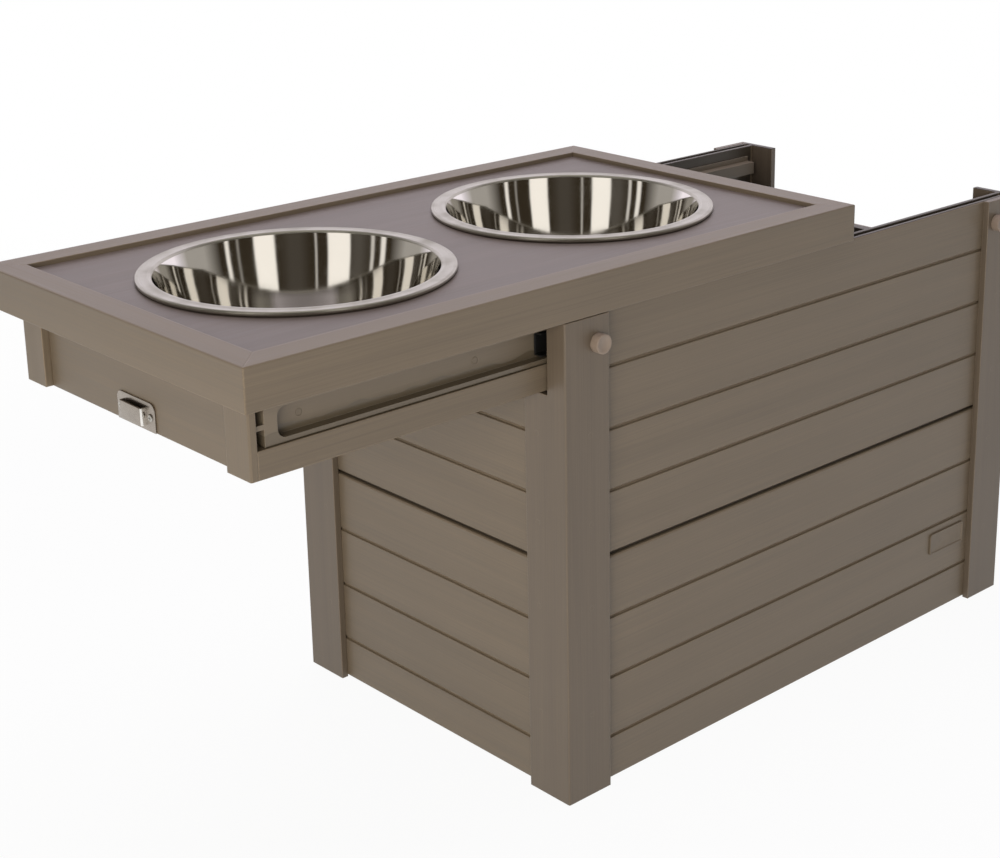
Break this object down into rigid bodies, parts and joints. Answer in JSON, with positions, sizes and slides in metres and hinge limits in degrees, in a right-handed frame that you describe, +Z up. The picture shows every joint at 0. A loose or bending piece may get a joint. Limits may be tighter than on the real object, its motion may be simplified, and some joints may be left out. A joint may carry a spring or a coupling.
{
  "type": "dog feeding station",
  "caption": "Panelled storage box whose tray of lift-out steel dog bowls pulls out on ball slides, with a slide latch that keeps the tray shut.",
  "frame": {"origin": "on the floor under the middle of the part's box, with the tray pulled out", "axes": "+X from the pulled-out tray towards the box's back, +Y to the left, +Z up"},
  "size_m": [0.7746, 0.324, 0.3897],
  "materials": {
    "corner_posts": "brushed wood-plastic",
    "side_boards": "brushed wood-plastic",
    "end_boards": "brushed wood-plastic",
    "tray_rails": "brushed wood-plastic",
    "tray_deck": "brushed wood-plastic",
    "drawer_boards": "brushed wood-plastic",
    "floor_boards": "brushed wood-plastic",
    "slide_metal": "satin paint, greased",
    "cage_plastic": "moulded black",
    "ball_steel": "polished",
    "screw_steel": "zinc plated",
    "bracket_steel": "zinc plated",
    "bolt_caps": "moulded",
    "latch_steel": "satin stainless",
    "blank_plate": "moulded, bare",
    "bowl_steel": "polished inside, satin rim"
  },
  "bodies": {
    "base": {"post_front_right": "corner_posts", "post_front_left": "corner_posts", "post_back_right": "corner_posts", "post_back_left": "corner_posts", "right_panel_lower": "side_boards", "right_panel_upper": "side_boards", "left_panel_lower": "side_boards", "left_panel_upper": "side_boards", "front_panel_lower": "end_boards", "front_panel_upper": "end_boards", "back_panel_lower": "end_boards", "back_panel_upper": "end_boards", "floor_board": "floor_boards", "floor_cleat_right": "floor_boards", "floor_cleat_left": "floor_boards", "floor_cleat_front": "floor_boards", "floor_cleat_back": "floor_boards", "panel_screws": "screw_steel", "cleat_screws": "screw_steel", "slide_rail_right": "slide_metal", "slide_rail_left": "slide_metal", "cap_bolts": "bolt_caps", "latch_base": "latch_steel", "latch_screws": "screw_steel", "blank_plate": "blank_plate"},
    "tray": {"tray_rail_front": "tray_rails", "tray_rail_back": "tray_rails", "tray_rail_right": "tray_rails", "tray_rail_left": "tray_rails", "tray_deck": "tray_deck", "drawer_front": "drawer_boards", "corner_block_right": "corner_posts", "corner_block_left": "corner_posts", "drawer_side_right": "drawer_boards", "drawer_side_left": "drawer_boards", "drawer_back": "drawer_boards", "slide_channel_right": "slide_metal", "slide_channel_left": "slide_metal", "slide_screws": "screw_steel", "deck_brackets": "bracket_steel", "bracket_screws": "screw_steel", "latch_keeper": "latch_steel", "keeper_screws": "screw_steel"},
    "cage_right": {"ball_cage_right": "cage_plastic", "slide_balls_right": "ball_steel"},
    "cage_left": {"ball_cage_left": "cage_plastic", "slide_balls_left": "ball_steel"},
    "front_bowl": {"front_bowl": "bowl_steel"},
    "back_bowl": {"back_bowl": "bowl_steel"},
    "latch_bolt": {"latch_bolt": "latch_steel"}
  },
  "joints": [
    {"name": "tray_slide", "type": "slide", "parent": "base", "child": "tray", "axis": [1, 0, 0], "range_m": [0, 0.236]},
    {"name": "cage_right_slide", "type": "slide", "parent": "base", "child": "cage_right", "axis": [1, 0, 0], "range_m": [0, 0.118]},
    {"name": "cage_left_slide", "type": "slide", "parent": "base", "child": "cage_left", "axis": [1, 0, 0], "range_m": [0, 0.118]},
    {"name": "front_bowl_lift", "type": "slide", "parent": "tray", "child": "front_bowl", "axis": [0, 0, 1], "range_m": [0, 0.08]},
    {"name": "back_bowl_lift", "type": "slide", "parent": "tray", "child": "back_bowl", "axis": [0, 0, 1], "range_m": [0, 0.08]},
    {"name": "latch_slide", "type": "slide", "parent": "base", "child": "latch_bolt", "axis": [0, 0, 1], "range_m": [0, 0.014]}
  ],
  "couplings": [
    {"joint": "cage_right_slide", "follows": "tray_slide", "ratio": 0.5},
    {"joint": "cage_left_slide", "follows": "tray_slide", "ratio": 0.5}
  ]
}
